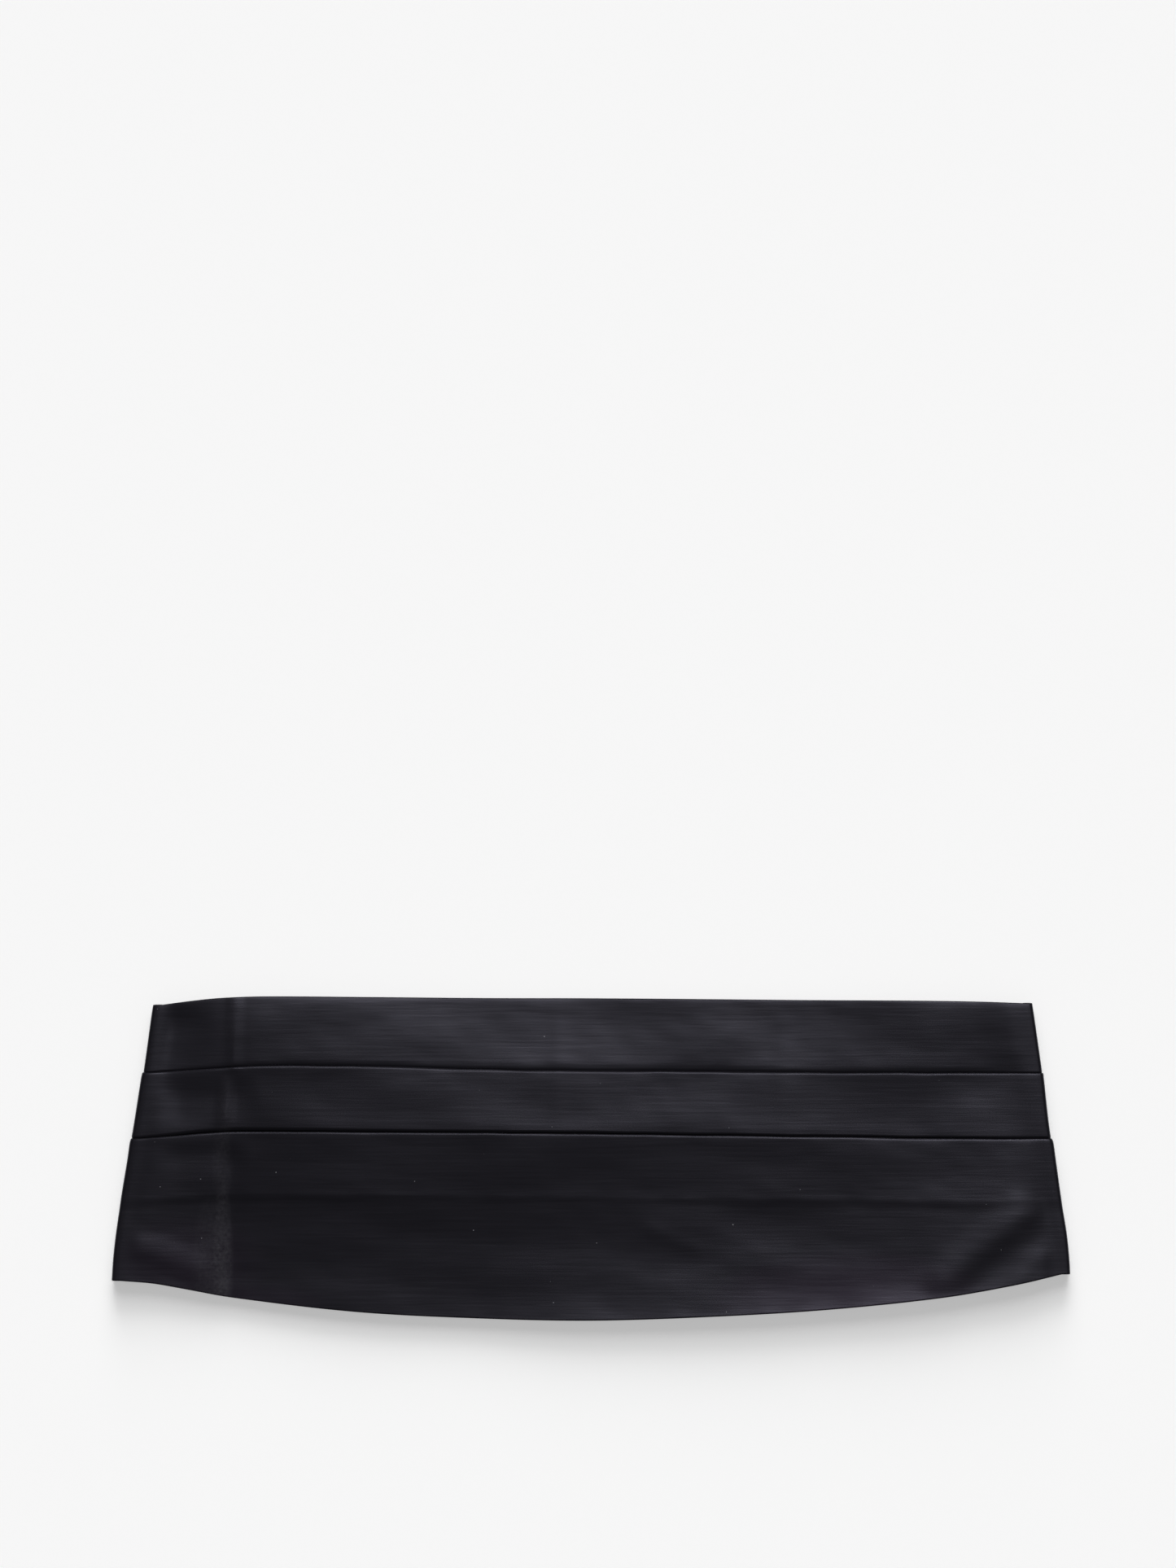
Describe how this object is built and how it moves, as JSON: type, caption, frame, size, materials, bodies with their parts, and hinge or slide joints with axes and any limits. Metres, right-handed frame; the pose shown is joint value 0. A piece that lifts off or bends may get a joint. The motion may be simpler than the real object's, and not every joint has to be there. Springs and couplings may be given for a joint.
{
  "type": "cummerbund",
  "caption": "Black satin cummerbund with pleats that open upward and a curved hem, fastened into a loop and laid flat with its ends folded behind.",
  "frame": {"origin": "on the surface the loop lies on, under the middle of its outline", "axes": "+X along the front to the right as seen from its face, +Y towards its top edge, +Z out of its face, up from the surface"},
  "size_m": [0.3796, 0.1282, 0.0085],
  "materials": {
    "satin": "blue-black polyester satin with a soft sheen",
    "elastic": "matte black ribbed elastic webbing",
    "clasp": "black enamelled steel, semi-gloss"
  },
  "bodies": {
    "root": {"pleated_front": "satin", "strap_left": "elastic", "strap_right": "elastic", "hook": "clasp", "ring": "clasp"}
  },
  "joints": []
}
